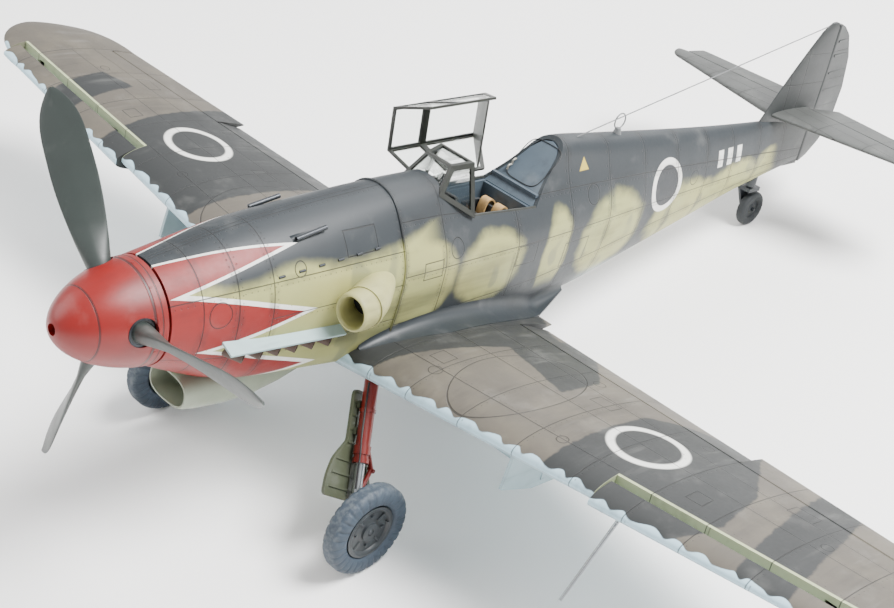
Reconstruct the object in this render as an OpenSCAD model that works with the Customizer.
// Propeller plane model, 1:32. Millimetres. Each module below is one separate piece.
// Pieces are drawn in the aircraft's own axes (x port, y aft from the spinner tip, z up from
// the thrust line) and place() sets the whole model tail-down on its three wheels at z = 0.

/* [Airframe] */
// Wing half span
half_span = 154.9; // [140:0.1:170]
// Wing chord plane height at the centreline
wing_w0 = -20.4; // [-24:0.1:-14]
// Wing dihedral as a slope
dihedral = 0.104; // [0.08:0.001:0.13]
// Wing skin and fuselage shell thickness
wall = 1.1; // [0.8:0.1:1.6]
// Tail-down angle of the fuselage when standing
sit = 10.6; // [8:0.1:13]

/* [Propeller] */
// Propeller radius
prop_r = 46.8; // [40:0.1:50]
// Blade axis distance behind the spinner tip
blade_s = 14.2; // [12:0.1:17]
// Spinner radius at its back edge
spin_r = 11.45; // [10:0.05:12]
// Blade pitch angle at the root
pitch = 38; // [20:1:60]

/* [Undercarriage] */
// Main wheel radius
wheel_r = 11.1; // [9:0.1:12]
// Main wheel width
wheel_w = 5.0; // [4:0.1:6]
// Main wheel hub position from the centreline
hub_b = 36.5; // [30:0.1:42]
// Main wheel hub distance aft of the spinner tip
hub_s = 61.6; // [56:0.1:68]
// Main wheel hub height
hub_w = -45.4; // [-50:0.1:-40]
// Tail wheel radius
tail_r = 5.4; // [4.5:0.1:6]
// Tail wheel centre distance aft
tail_s = 247.8; // [235:0.1:255]
// Depth of the small worn flat under each tyre
flat = 0.25; // [0.1:0.05:0.5]

/* [Controls] */
// Flap droop as posed
droop = 8; // [0:1:20]
// Slat travel
slat_out = 1.8; // [1:0.1:2.5]
// Hood opening angle as posed
hood_open = 95; // [80:1:95]
// Running clearance of pins in bores
fit = 0.05; // [0.02:0.01:0.1]
// Gap round control surfaces
gap = 0.3; // [0.3:0.05:0.5]
// Clearance of fittings that stand on the fuselage skin
skin_gap = 0.1; // [0.05:0.01:0.2]

/* [Hidden] */

// ---- posture ----
z_low = -hub_s*sin(sit) + hub_w*cos(sit) - wheel_r + flat;
tail_w = (z_low + tail_r - flat + tail_s*sin(sit))/cos(sit);
// middle of the footprint along the fuselage
y_mid = 139.106;
module place() translate([0, -y_mid, -z_low]) rotate([-sit, 0, 0]) children();

// ---- helpers ----
// smooth curve through [station, value] pairs
function seg(t, s, i=0) = (i >= len(t)-2 || s < t[i+1][0]) ? i : seg(t, s, i+1);
function slope(t, i, k) = i == 0 ? (t[1][k]-t[0][k])/(t[1][0]-t[0][0])
  : i == len(t)-1 ? (t[i][k]-t[i-1][k])/(t[i][0]-t[i-1][0])
  : (t[i+1][k]-t[i-1][k])/(t[i+1][0]-t[i-1][0]);
function curve(t, s, k=1) = let(i=seg(t, s), h=t[i+1][0]-t[i][0], u=(s-t[i][0])/h)
  (2*u*u*u-3*u*u+1)*t[i][k] + (u*u*u-2*u*u+u)*h*slope(t,i,k)
  + (3*u*u-2*u*u*u)*t[i+1][k] + (u*u*u-u*u)*h*slope(t,i+1,k);
// loft through closed loops of equal count; flip splits each four-sided face the other way
module loft(L, flip=false) {
  n = len(L[0]); m = len(L);
  polyhedron(points=[for (l=L) for (p=l) p], faces=concat(
    [[for (j=[0:n-1]) j]], [[for (j=[n-1:-1:0]) (m-1)*n+j]],
    [for (i=[0:m-2]) for (j=[0:n-1]) flip ? [i*n+j, (i+1)*n+j, (i+1)*n+(j+1)%n]
      : [i*n+j, (i+1)*n+j, i*n+(j+1)%n]],
    [for (i=[0:m-2]) for (j=[0:n-1]) flip ? [i*n+j, (i+1)*n+(j+1)%n, i*n+(j+1)%n]
      : [(i+1)*n+j, (i+1)*n+(j+1)%n, i*n+(j+1)%n]]));
}
module rod(p, q, r1, r2=-1, fn=24) {
  d = q-p; l = norm(d);
  translate(p) rotate([0, acos(d[2]/l), atan2(d[1], d[0])])
    cylinder(h=l, r1=r1, r2=(r2 < 0 ? r1 : r2), $fn=fn);
}
module about(p, v, a) translate(p) rotate(a=a, v=v) translate(-p) children();
module mir(side) if (side > 0) children(); else mirror([1, 0, 0]) children();

// ---- fuselage lines: station, half width, top, bottom ----
// also: fullness of the lower half, pinch of the upper flanks
FUS = [[19.6,11.4,11.4,-11.4,1,0],[27.5,12.3,12.8,-15,0.9,0],[36,13,14.4,-18.2,0.75,0],
 [44.7,13.6,15.6,-20,0.65,0],[64,13.9,17.2,-21.6,0.5,0.05],[82.5,13.8,18.2,-23.2,0.42,0.12],
 [96,13.6,18.4,-23.6,0.42,0.18],[107,13.2,18.8,-23.6,0.42,0.34],[130,12.6,20.8,-23.4,0.5,0.34],
 [143,11.8,21.5,-22.8,0.6,0.32],[160,10.4,19.9,-21.6,0.75,0.24],[183,8.2,17.7,-17.6,0.9,0.12],
 [207,6.1,15.6,-12.8,1,0.05],[230,4.2,14,-7.6,1,0],[250,2.6,13,-4.4,1,0],[263,1.7,12.6,-2.6,1,0]];
function fus(s, th, o=0) = let(a=curve(FUS,s,1)-o, t=curve(FUS,s,2)-o, b=-curve(FUS,s,3)-o,
  f=curve(FUS,s,4), q=curve(FUS,s,5), sn=sin(th), sg=sn < -0.0001 ? -1 : 1)
  cos(th) > 0.0001 ? [a*sn*(1-q*pow(sin(2*th),2)), s, t*cos(th)]
  : [abs(sn) < 0.0001 ? 0 : a*sg*pow(abs(sn),f), s, b*cos(th)];
// closed shell patch between stations S and angles T
module skin(S, T, w=wall) let(A=[for (t=T) t]) loft([for (s=S) concat([for (t=A) fus(s,t)],
  [for (i=[len(A)-1:-1:0]) fus(s,A[i],w)])]);
module fus_solid(S, o=0) loft([for (s=S) [for (t=[0:15:345]) fus(s,t,o)]]);
S_ring = [20.2, 23.8, 27.5];
S_cowl = [27.5, 33, 39, 44.7, 51, 57, 64, 70, 76, 82.5];
S_aft = [82.5, 89, 96, 101, 107, 114, 122, 130, 137, 143, 150, 160, 172, 183, 195, 207, 219, 230,
 241, 252, 263.5];
T_half = [0:15:180];

module nose_ring() color("#b3261e") place() difference() {
  fus_solid(S_ring);
  difference() { fus_solid([20.2,23.8,27.5,29], wall); rod([0,20,0],[0,21.6,0],14,14,48); }
  rod([0,19,0],[0,30,0],1.5+fit,1.5+fit,32);
}
module cowl_upper() color("#3c4246") place() difference() {
  skin(S_cowl, [-60:15:60]);
  for (k=[-1,1]) rod([k*8.0,51.6,14.2], [k*7.8,61,15.6], 1.2);
}
module cowl_side(k) place() mir(k) skin(S_cowl, [60:15:180]);
module fus_half(k) place() mir(k) difference() {
  skin(S_aft, T_half);
  cockpit_cut();
  tail_cuts();
}
module cockpit_cut() {
  rotate([90,0,90]) linear_extrude(height=60, center=true)
    polygon([[98,30],[98,15.2],[107,9.5],[129.4,8.4],[143.2,21.7],[143.2,30]]);
}

// ---- wing ----
function le(b) = 70.3 + 0.051*b;
function te(b) = 138.3 - 0.179*b;
tipb = 134;
function tipk(b) = b < tipb ? 1 : pow(max(0.0004, 1-pow((b-tipb)/(half_span-tipb+0.1),2.3)),0.47);
function mid(b) = (le(min(b,tipb))+te(min(b,tipb)))/2 + (b > tipb ? -0.07*(b-tipb) : 0);
function chord(b) = (te(min(b,tipb))-le(min(b,tipb)))*tipk(b);
function thick(b) = 0.142-0.0285*min(b,tipb)/tipb;
function plane_w(b, x) = wing_w0 + dihedral*b - 2.2*x*(1-b/250);
function half_t(x) = 5*(0.2969*sqrt(x)-0.1260*x-0.3516*x*x+0.2843*x*x*x-0.1036*x*x*x*x);
function wp(b, x, k) = let(c=chord(b))
  [b, mid(b)-c/2+c*x, plane_w(b,x) + (k == 0 ? 0 : k*(c*thick(b)*half_t(x)+0.12)
   + 0.08*c*x*(1-x)*(k > 0 ? 1 : 0.25))];
XS = [0, 0.012, 0.05, 0.12, 0.22, 0.35, 0.5, 0.65, 0.79, 0.9, 1];
BS = [0, 60, 134, 141, 147, 151, 153.6, 154.8];
function rev(v) = [for (i=[len(v)-1:-1:0]) v[i]];
function loop_up(b) = concat(rev([for (x=XS) wp(b,x,1)]), [wp(b,0,0), wp(b,1,0)]);
function loop_lo(b) = concat([for (x=XS) wp(b,x,-1)], [wp(b,1,0), wp(b,0,0)]);
function loop_all(b) = concat(rev([for (x=XS) wp(b,x,1)]), [for (x=XS) wp(b,x,-1)]);
module wing_solid(B) loft([for (b=B) loop_all(b)]);
xh = 0.79;
flap_b = [19.5, 90.4];
ail_b = [90.8, 133.4];
slat_b = [81.8, 140.6];
function hp(b) = [b, le(b)+xh*(te(b)-le(b)), plane_w(b,xh)+0.22];
function hr(b) = (te(b)-le(b))*thick(b)*half_t(xh)*0.98;
function slat_s(b) = le(b) + 0.13*(te(b)-le(b));
// plan region between spanwise limits, from the hinge line aft
module aft_region(r, e, dx=0) translate([0,0,-60]) linear_extrude(height=120)
  polygon([[r[0]+e, hp(r[0])[1]+dx], [r[1]-e, hp(r[1])[1]+dx], [r[1]-e, 150], [r[0]+e, 150]]);
module bay(r) {
  aft_region(r, -gap);
  rod(hp(r[0])-[gap,0,gap*dihedral], hp(r[1])+[gap,0,gap*dihedral], hr(r[0])+2*gap, hr(r[1])+2*gap);
}
module slat_region(e) translate([0,0,-60]) linear_extrude(height=120)
  polygon([[slat_b[0]-e, 60], [slat_b[1]+e, 60], [slat_b[1]+e, slat_s(slat_b[1])+e],
    [slat_b[0]-e, slat_s(slat_b[0])+e]]);
module wing_bays() {
  bay(flap_b); bay(ail_b);
  slat_region(gap);
}
S_root = [64,70,76,82.5,89,96,101,107,114,122,130,137,143,150];
BT = [for (i=[1:len(BS)-1]) BS[i]];
module wing_up(k) place() mir(k) difference() {
  loft([for (b=concat([7], BT)) loop_up(b)]);
  wing_bays();
  slat_slots();
  fus_solid(S_root);
}
module wing_lo(k) place() mir(k) difference() {
  loft([for (b=concat([7], BT)) loop_lo(b)], flip=true);
  wing_bays();
  slat_slots();
  leg_socket();
  fus_solid(S_root);
}
module slat_slots() for (b=[95,132]) translate([b-1.3, slat_s(b)-2, plane_w(b,0.13)-1.6])
  cube([2.6, 8.5, 2.5]);
module leg_socket() rod(leg_t, leg_t+(leg_e-leg_t)*0.3, 1.65);
module flap(k) place() mir(k) about(hp(flap_b[0]), hp(flap_b[1])-hp(flap_b[0]), -droop) union() {
  intersection() {
    wing_solid([18, 92]);
    translate([0,0,-60]) linear_extrude(height=120) polygon([
      [flap_b[0], hp(flap_b[0])[1]+gap], [flap_b[1], hp(flap_b[1])[1]+gap],
      [flap_b[1], te(flap_b[1])-1.6], [flap_b[0], te(flap_b[0])-1.6]]);
  }
  rod(hp(flap_b[0]), hp(flap_b[1]), hr(flap_b[0]), hr(flap_b[1]));
}
module aileron(k) place() mir(k) union() {
  intersection() { wing_solid([90, 134]); aft_region(ail_b, 0, gap); }
  rod(hp(ail_b[0]), hp(ail_b[1]), hr(ail_b[0]), hr(ail_b[1]));
}
sl_dir = [0, -0.94, -0.34];
module slat(k) place() mir(k) translate(slat_out*sl_dir) union() {
  intersection() { wing_solid([80, 134, 141, 147]); slat_region(0); }
  for (b=[95,132]) translate([b-0.9, slat_s(b)-1, plane_w(b,0.13)-0.5]) cube([1.8, 4.6, 1]);
}
rad_b = [21, 61];
rad_front = 86;
// end fence of the radiator: station and height of its corners
fence = [[74.4,-15], [73,-23.4], [83.5,-26.4], [96,-26.6], [106,-24.4], [111,-18]];
module radiator(k) place() mir(k) difference() {
  union() {
    hull() for (b=rad_b) {
      translate([b-(b > 30 ? 1 : 0),rad_front,plane_w(b,0.3)-(b > 30 ? 10.4 : 6.6)]) cube([1,1,6]);
      translate([b-(b > 30 ? 1 : 0),97,plane_w(b,0.5)-(b > 30 ? 10 : 7)]) cube([1,4,7]);
      translate([b-(b > 30 ? 1 : 0),b > 30 ? 111.5 : 116,plane_w(b,0.8)-3.4]) cube([1,1,3]);
    }
    translate([rad_b[1]-1,0,0]) rotate([90,0,90]) linear_extrude(height=0.8) polygon(fence);
  }
  wing_solid([0, 134]);
  hull() for (b=[rad_b[0]+1.2, rad_b[1]-2.2]) {
    translate([b,rad_front-1,plane_w(b,0.3)-(b > 30 ? 9.4 : 5.8)]) cube([1,1,9]);
    translate([b,95,plane_w(b,0.5)-(b > 30 ? 9 : 6)]) cube([1,1,9]);
  }
}

// ---- tail ----
stab_w = 15.1;
el_s = 259.4;
function stab_half(x) = half_t(x)*0.085;
function sp(b, x, k) = let(kb=b > 42 ? sqrt(max(0.02,1-pow((b-42)/6,2))) : 1,
  l0=241.5+0.256*min(b,42), l1=270.7-0.064*min(b,42), c=(l1-l0)*kb, m=(l0+l1)/2+0.02*max(0,b-42))
  [b, m-c/2+c*x, stab_w + k*(c*stab_half(x)+0.12)];
SX = [0, 0.03, 0.12, 0.3, 0.5, 0.75, 1];
module stab_solid() loft([for (b=[0,20,42,44.8,46.8,47.8]) concat(rev([for (x=SX) sp(b,x,1)]),
  [for (x=SX) sp(b,x,-1)])]);
function er(b) = 1.05-0.012*b;
module stabiliser(k) color("#6d7274") place() mir(k) difference() {
  stab_solid();
  translate([-1,el_s,0]) cube([60,40,40]);
  rod([2,el_s,stab_w], [50,el_s,stab_w], er(2)+gap, er(50)+gap);
  fin_core();
}
module elevator(k) color("#63686a") place() mir(k) union() {
  intersection() {
    stab_solid();
    translate([0,0,stab_w-10]) linear_extrude(height=20)
      polygon([[2.9,el_s],[44.2,el_s],[43.9,290],[8,290],[6.6,271]]);
  }
  rod([2.9,el_s,stab_w], [44.2,el_s,stab_w], er(2.9), er(44.2));
}
rud_s = 265.2;
module fin_core() {
  // thin vertical aerofoil body
  hull() {
    for (q=[[237,13.5],[246.5,26.5],[257.5,40.2]]) translate([0,q[0],q[1]]) sphere(r=0.5, $fn=16);
    for (q=[-3,26,41.5]) translate([0,264.2,q]) sphere(r=(q < 30 ? 1.35 : 0.9), $fn=16);
    translate([0,246,0]) sphere(r=1.6, $fn=16);
  }
}
module fin() color("#34393b") place() difference() {
  fin_core();
  fus_solid([219,230,241,252,263.5], -skin_gap);
  translate([-5,rud_s,-20]) cube([10,20,80]);
  rod([0,rud_s,-12], [0,rud_s,60], 1.2+gap);
}
module rudder() color("#34393b") place() union() {
  hull() {
    rod([0,rud_s,-2.6], [0,rud_s,40.4], 1.2, 0.9);
    for (q=[[275.5,3],[278.8,12],[279.0,20],[276.6,30],[272.4,37.5],[267.4,41],[270,-2]])
      translate([0,q[0],q[1]]) sphere(r=0.28, $fn=12);
  }
}
module tail_cuts() translate([-5,263,-20]) cube([10,20,80]);

// ---- undercarriage ----
leg_t = [16.8, 75.6, -21.0];
leg_e = [hub_b-4.1, hub_s, hub_w];
module gear_leg(k) color("#8c2f22") place() mir(k) union() {
  rod(leg_t, leg_t+(leg_e-leg_t)*0.62, 1.65);
  rod(leg_t+(leg_e-leg_t)*0.60, leg_e, 1.2);
  rod(leg_t+(leg_e-leg_t)*0.50, leg_t+(leg_e-leg_t)*0.56, 1.95);
  rod(leg_e+[-1.2,0,0], [hub_b+1.4, hub_s, hub_w], 0.8);
}
module wheel_flat() translate([hub_b-9, 0, 0]) rotate([sit,0,0])
  translate([0, -300, z_low-10]) cube([18, 600, 10]);
module tyre(k) color("#2c3640") place() mir(k) difference() {
  translate([hub_b,hub_s,hub_w]) rotate([0,90,0]) rotate_extrude($fn=64) difference() {
    hull() {
      translate([wheel_r-2.2,0]) scale([1,1.12]) circle(r=2.2, $fn=48);
      translate([6,-2]) square([1,4]);
    }
    square([6.2,20], center=false);
    translate([0,-20]) square([6.2,20]);
  }
  wheel_flat();
}
module wheel_hub(k) color("#23282b") place() mir(k)
  translate([hub_b,hub_s,hub_w]) rotate([0,90,0]) rotate_extrude($fn=64) difference() {
    polygon([[0.8+fit,-1.6],[3,-1.6],[6.2,-1.9],[6.2,1.9],[5.6,1.9],[5.2,1.3],[2.4,1.1],[2.2,1.9],
      [0.8+fit,1.9]]);
  }
// local frame on the leg: x along the leg, y aft, z inboard
module on_leg() {
  d = (leg_e-leg_t)/norm(leg_e-leg_t);
  n0 = [-1,0,0]+d*d[0];
  n = n0/norm(n0);
  y = cross(n, d);
  multmatrix([[d[0],y[0],n[0],leg_t[0]],[d[1],y[1],n[1],leg_t[1]],[d[2],y[2],n[2],leg_t[2]],
    [0,0,0,1]]) children();
}
module gear_cover(k) color("#4a4f3c") place() mir(k) on_leg() {
  translate([0,0,2.2]) linear_extrude(height=0.7) difference() {
    polygon([[3.6,-2.8],[3.6,3.0],[15.4,3.0],[17.2,4.8],[20,7.4],[24,9],[28.5,9.4],[28.5,-9],[24,-8.4],
      [20,-6.9],[17.2,-4.6],[15.4,-2.8]]);
  }
  for (x=[6,12]) translate([x,-1.2,0]) difference() {
    cube([1.6,2.4,2.3]);
    translate([-1,1.2,0]) rotate([0,90,0]) cylinder(r=1.655,h=5,$fn=24);
  }
}

// ---- tail wheel ----
piv_s = tail_s-4.4;
module tail_strut() color("#2b2f31") place() difference() {
  rod([0,piv_s,-3.4], [0,piv_s,tail_w+8.4], 1.7);
  rod([0,piv_s,tail_w+3], [0,piv_s,tail_w+13.4], 0.8+fit);
  fus_solid([230,241,252], -skin_gap);
}
module tail_fork() color("#2b2f31") place() union() {
  rod([0,piv_s,tail_w+7.4], [0,piv_s,tail_w+10.4], 0.8);
  translate([-2.7,piv_s-1.6,tail_w+6.6]) cube([4.3,5.4,1.2]);
  hull() {
    translate([-2.7,piv_s-1.6,tail_w+6.8]) cube([0.8,5.4,1]);
    translate([-2.7,tail_s-1,tail_w-1]) cube([0.8,2,1]);
  }
  rod([-2.4,tail_s,tail_w],[1.7,tail_s,tail_w],0.6);
}
module tail_wheel() color("#1f2224") place() difference() {
  translate([0,tail_s,tail_w]) rotate([0,90,0]) rotate_extrude($fn=48) difference() {
    union() {
      translate([tail_r-1.4,0]) scale([1,1.05]) circle(r=1.4, $fn=32);
      translate([0,-0.9]) square([tail_r-1.4,1.8]);
    }
    translate([-10,-10]) square([10+0.6+fit,20]);
  }
  translate([-9,0,0]) rotate([sit,0,0]) translate([0,-300,z_low-10]) cube([18,600,10]);
}

// ---- engine details ----
module supercharger_intake() color("#c3c69a") place() difference() {
  union() {
    rod([19.9,60.6,0.4], [19.0,66,0.3], 4.3, 4.6, 40);
    rod([19.0,66,0.3], [10.5,77.5,0], 4.6, 3.9, 40);
    translate([19.0,66,0.3]) sphere(r=4.6, $fn=40);
  }
  rod([20.0,60,0.4], [19.2,67,0.3], 3.5, 3.5, 40);
  fus_solid([57,64,70,76,82.5]);
}
S_cw = [27.5,33,39,44.7,51,57,64,70,76];
module exhaust_stubs() color("#4d3a33") place() for (k=[1,-1]) mir(k) difference() {
  for (i=[0:5]) rod([10,34.2+i*4.9,-6.6-i*0.4], [14.9,37.2+i*4.9,-7.4-i*0.4], 1.5, 1.35, 20);
  fus_solid(S_cw);
  for (i=[0:5]) rod([13.6,36.3+i*4.9,-7.2-i*0.4], [15.4,37.6+i*4.9,-7.5-i*0.4], 0.95, 0.95, 16);
}
module exhaust_shields() color("#a8c0c6") place() for (k=[1,-1]) mir(k) difference() {
  hull() {
    translate([11.5,33,-4.1]) rotate([0,24,0]) cube([4.6,1,0.5]);
    translate([12.2,64,-6.6]) rotate([0,24,0]) cube([4.0,1,0.5]);
  }
  fus_solid(S_cw);
}
module oil_cooler_fairing() color("#a9b09a") place() difference() {
  hull() {
    for (k=[-1,1]) {
      translate([k*3.4,31,-22.2]) rotate([-90,0,0]) cylinder(r=3,h=1,$fn=32);
      translate([k*3.8,48,-23.4]) rotate([-90,0,0]) cylinder(r=3.2,h=1,$fn=32);
      translate([k*2.8,68,-20.6]) rotate([-90,0,0]) cylinder(r=2.4,h=1,$fn=32);
    }
    translate([-6,34,-17]) cube([12,30,1]);
  }
  hull() for (k=[-1,1]) {
    translate([k*3.2,29,-22.0]) rotate([-90,0,0]) cylinder(r=2.2,h=1,$fn=32);
    translate([k*3.4,42,-22.6]) rotate([-90,0,0]) cylinder(r=2.4,h=1,$fn=32);
    translate([k*3.2,29,-17]) rotate([-90,0,0]) cylinder(r=2.2,h=1,$fn=32);
  }
  fus_solid(S_cw);
}
module gun_barrels() color("#1a1c1d") place() for (k=[-1,1])
  difference() {
    rod([k*8.0,52.6,13.7], [k*7.9,60.8,15.0], 0.55, 0.55, 16);
    rod([k*8.0,51.6,13.54], [k*7.97,55,14.1], 0.3, 0.3, 12);
  }

// ---- cockpit ----
S_pit = [96,101,107,114,122,130,137,143,150];
module cockpit_tub() color("#56656d") place() difference() {
  intersection() {
    fus_solid(S_pit, wall);
    union() {
      translate([-9.4,98.5,-9.2]) cube([18.8,30.6,1]);
      for (k=[0,1]) mirror([k,0,0]) {
        translate([7.6,98.5,-9.2]) cube([0.9,30.6,17.4]);
        translate([7.6,98.5,7.3]) cube([6,30.6,0.8]);
      }
      translate([-8.4,128.3,-9.2]) cube([16.8,0.8,17.2]);
    }
  }
  cockpit_cut();
}
module rear_bulkhead() color("#4f5d66") place() intersection() {
  fus_solid([114,122,130,137,143,150], wall+skin_gap);
  rotate([90,0,90]) linear_extrude(height=60, center=true)
    polygon([[129.15,8.2],[129.4,8.4],[143.2,21.7],[144.4,21.7],[130,7.9],[129.15,7.9]]);
}
module seat() color("#3d4a50") place() difference() {
  translate([-5,114,-8.2]) cube([10,10.6,13.6]);
  translate([-4.3,113,-4.4]) cube([8.6,10.8,12]);
  translate([-6,113,-4.4]) cube([12,5.5,12]);
  translate([-4.3,113.8,-8.6]) cube([8.6,9,3.5]);
}
module seat_belts() color("#b8935c") place() for (x=[-3,1.2]) union() {
  translate([x,123.3,-4.0]) cube([1.8,0.5,9.4]);
  translate([x,123.3,5.4]) cube([1.8,2.2,0.5]);
  translate([x,114.6,-4.4]) cube([1.8,9.2,0.4]);
}
module instrument_panel() color("#2a2e30") place() difference() {
  intersection() {
    fus_solid(S_pit, wall);
    translate([-7.6,103,-4]) cube([15.2,0.9,18]);
  }
  translate([-20,90,13.8]) cube([40,30,20]);
  for (q=[[-4,10],[0,10.6],[4,10],[-5.2,5.6],[-1.8,6],[1.8,6],[5.2,5.6]])
    translate([q[0],103.9-0.3,q[1]]) rotate([-90,0,0]) cylinder(r=1.4,h=2,$fn=24);
}
module control_stick() color("#1d2022") place() union() {
  rod([0,108.5,-8.2],[0,109.4,-0.5],0.45,0.45,16);
  rod([0,109.4,-0.6],[0,109.0,2.4],0.75,0.7,16);
}
module gunsight() color("#24282a") place() union() {
  translate([-1.2,101.6,13.8]) cube([2.4,2.3,1.6]);
  translate([-0.9,102.4,15.3]) rotate([-38,0,0]) cube([1.8,0.3,2.6]);
}

// ---- glazing ----
function unit(v) = v/norm(v);
function nrm(P) = unit(cross(P[1]-P[0], P[2]-P[0]));
function cen(P) = (P[0]+P[1]+P[2]+P[3])/4;
function ins(P, f) = [for (p=P) cen(P)+(p-cen(P))*f];
// flat plate on a four-cornered pane, from depth a to depth b under its outer face
module pane(P, a, b) loft([[for (p=P) p-nrm(P)*b], [for (p=P) p-nrm(P)*a]]);
module pane_frame(P, f, t) difference() { pane(P,0,t); pane(ins(P,f),-0.2,t+0.2); }
wsA = [6.3,96.4,15.6]; wsB = [4.3,100.9,21.6]; wsC = [5.6,107,22.2]; wsD = [9.5,107,9.6];
function mx(p) = [-p[0],p[1],p[2]];
WS = [[wsA,wsB,mx(wsB),mx(wsA)],[wsB,wsC,mx(wsC),mx(wsB)],[wsD,wsC,wsB,wsA],
  [mx(wsA),mx(wsB),mx(wsC),mx(wsD)]];
WF = [0.84,0.78,0.74,0.74];
module windscreen_frame() color("#3b4038") place() difference() {
  union() for (i=[0:3]) pane_frame(WS[i], WF[i], 0.7);
  fus_solid([89,96,101,107,114], -2*skin_gap);
}
module windscreen_glass() color("#cfd8d4", 0.4) place() difference() {
  union() for (i=[0:3]) pane(ins(WS[i],WF[i]), 0.2, 0.5);
  fus_solid([89,96,101,107,114], -2*skin_gap);
}
hx = 9.5; hz = 9.85; tx = 5.6; tz = 22.2; h0 = 107.4; hm = 118.6;
function hr_s(z) = 128.8+(z-8.4)*0.82;
function hq(s0, s1, r) = let(e=s1 < 0 ? hr_s(hz) : s1, g=s1 < 0 ? hr_s(tz) : s1) [
  [[hx,s0,hz],[hx,e,hz],[tx,g,tz],[tx,s0,tz]],
  [[tx,s0,tz],[tx,g,tz],[-tx,g,tz],[-tx,s0,tz]],
  [[-tx,s0,tz],[-tx,g,tz],[-hx,e,hz],[-hx,s0,hz]]][r];
module hood() about([-hx-0.1,0,hz-0.1], [0,1,0], -hood_open) children();
module canopy_frame() color("#3b4038") place() hood() union() {
  for (r=[0:2]) { pane_frame(hq(h0,hm,r),0.86,0.6); pane_frame(hq(hm,-1,r),0.86,0.6); }
}
module canopy_glass() color("#cfd8d4", 0.4) place() hood() union() {
  for (r=[0:2]) { pane(ins(hq(h0,hm,r),0.86),0.15,0.4); pane(ins(hq(hm,-1,r),0.86),0.15,0.4); }
}
module head_armour() color("#2f332e") place() hood() loft([for (d=[1.6,2.3])
  [[hx-0.95,hr_s(hz)-d,hz+0.5],[tx-0.62,hr_s(tz-0.8)-d,tz-0.62],[-tx+0.62,hr_s(tz-0.8)-d,tz-0.62],
   [-hx+0.95,hr_s(hz)-d,hz+0.5]]]);

// ---- propeller ----
spin_l = 19.6;
function spr(s) = spin_r*pow(max(0,1-pow((spin_l-s)/spin_l,1.7)),0.53);
module spinner() color("#b3261e") place() difference() {
  rotate([-90,0,0]) rotate_extrude($fn=72) polygon(concat([[1.25,0.25]],
    [for (i=[1:14]) [spr(0.25+spin_l*pow(i/14,1.5)*0.987), 0.25+spin_l*pow(i/14,1.5)*0.987]],
    [[3.6,spin_l],[3.6,18.6],[10.2,18.6],[10.2,15],[7.8,7.5],[4.4,3.6],[1.25,3.0]]));
  for (a=BL) rotate([0,a,0]) translate([0,blade_s,4]) cylinder(r=3.15,h=20,$fn=40);
}
// blade directions, degrees from straight up toward port
BL = [-38, 82, 202];
module propeller_hub() color("#3a3f42") place() difference() {
  union() {
    rotate([-90,0,0]) translate([0,0,9.4]) cylinder(r=3.6,h=10.2,$fn=48);
    rod([0,19.5,0],[0,26,0],1.5,1.5,32);
    rod([0,2.0,0],[0,9.5,0],1.25,1.25,32);
  }
  rod([0,1.5,0],[0,8,0],0.8,0.8,24);
  for (a=BL) rotate([0,a,0]) translate([0,blade_s,0]) translate([0,0,3.3]) cylinder(r=2.6,h=4,$fn=32);
}
function bc(r) = r < 15 ? 4.6+(r-9)*0.35 : 6.7+3.0*sin(min(90,(r-15)*5.6))
  *(r > 30 ? 1 : 1) - (r > 34 ? 9.1*pow((r-34)/(prop_r+0.15-34),3.2) : 0);
function bt(r) = r < 11 ? 4.2 : max(0.5, 4.2-(r-11)*0.34 > 1.4 ? 4.2-(r-11)*0.34 : 1.6-(r-19)*0.036);
function ba(r) = pitch+20-(r-9)*0.75;
module blade(a) place() rotate([0,a,0]) translate([0,blade_s,0]) union() {
  translate([0,0,3.3]) cylinder(r=2.45,h=6.6,$fn=32);
  loft([for (r=[8.6,11,14,18,23,29,35,39,42,44.5,46,46.7]) [for (t=[0:24:359])
    let(x=bc(r)/2*cos(t), y=bt(r)/2*sin(t), g=ba(r)) [x*cos(g)-y*sin(g), x*sin(g)+y*cos(g), r]]]);
}

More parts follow.
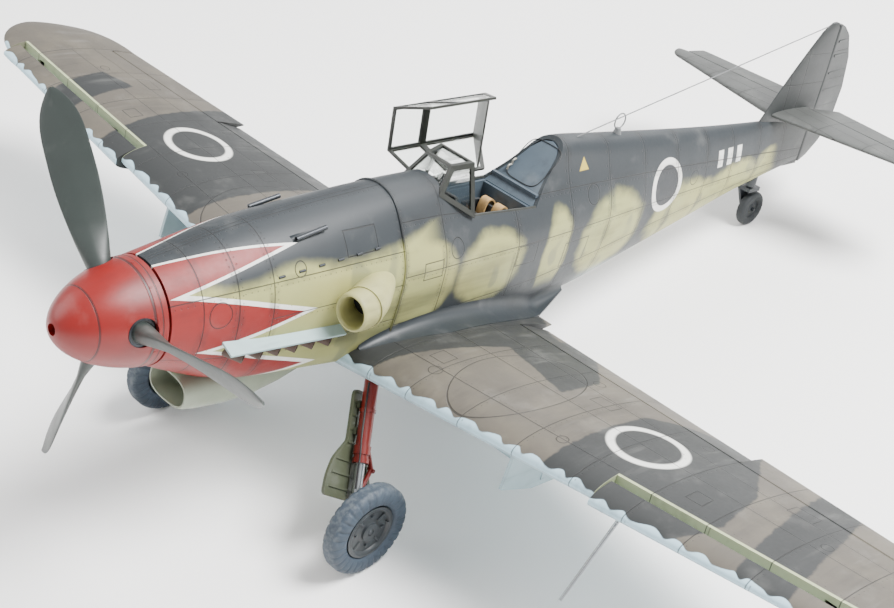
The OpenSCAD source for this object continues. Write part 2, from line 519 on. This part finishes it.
// ---- aerials ----
module antenna_loop() color("#b9bcbd") place() union() {
  difference() {
    translate([0,167.8,18.6]) cylinder(r1=1.3,r2=0.7,h=2.0,$fn=32);
    fus_solid([160,172,183], -skin_gap);
  }
  translate([0,167.8,22.5]) rotate([90,0,90]) rotate_extrude($fn=64) translate([2.1,0]) circle(r=0.2,$fn=20);
}
module antenna_mast() color("#c5c8c6") place() difference() {
  rod([84.8,86,plane_w(84.8,0.3)-0.6], [83.2,71.5,-36], 0.5, 0.35, 20);
  wing_solid([60,134]);
}
module aerial_wire() color("#55585a") place() difference() {
  rod([1.0,149.6,20.9],[0.3,258.2,41.2],0.16,0.16,12);
  fus_solid([143,150,160]);
  fin_core();
}

nose_ring();
cowl_upper();
color("#c3c69a") cowl_side(1);  // cowl_side_left
color("#c3c69a") cowl_side(-1);  // cowl_side_right
color("#7f8a72") fus_half(1);  // fuselage_left
color("#7f8a72") fus_half(-1);  // fuselage_right
supercharger_intake();
exhaust_stubs();
exhaust_shields();
oil_cooler_fairing();
gun_barrels();
color("#8fa3ac") wing_lo(1);  // wing_lower_left
color("#8fa3ac") wing_lo(-1);  // wing_lower_right
color("#777b78") wing_up(1);  // wing_upper_left
color("#777b78") wing_up(-1);  // wing_upper_right
color("#777b78") flap(1);  // flap_left
color("#777b78") flap(-1);  // flap_right
color("#5c605e") aileron(1);  // aileron_left
color("#5c605e") aileron(-1);  // aileron_right
color("#8a8f8c") slat(1);  // slat_left
color("#8a8f8c") slat(-1);  // slat_right
color("#9fb6bf") radiator(1);  // radiator_left
color("#9fb6bf") radiator(-1);  // radiator_right
stabiliser(1);  // stabiliser_left
stabiliser(-1);  // stabiliser_right
elevator(1);  // elevator_left
elevator(-1);  // elevator_right
fin();
rudder();
windscreen_frame();
windscreen_glass();
canopy_frame();
canopy_glass();
head_armour();
cockpit_tub();
seat();
seat_belts();
instrument_panel();
control_stick();
gunsight();
gear_leg(1);  // gear_leg_left
gear_leg(-1);  // gear_leg_right
gear_cover(1);  // gear_cover_left
gear_cover(-1);  // gear_cover_right
tyre(1);  // tyre_left
tyre(-1);  // tyre_right
wheel_hub(1);  // wheel_hub_left
wheel_hub(-1);  // wheel_hub_right
tail_strut();
tail_fork();
tail_wheel();
spinner();
propeller_hub();
antenna_loop();
antenna_mast();
aerial_wire();
color("#39423c") blade(BL[0]);  // blade_1
color("#39423c") blade(BL[1]);  // blade_2
color("#39423c") blade(BL[2]);  // blade_3
rear_bulkhead();
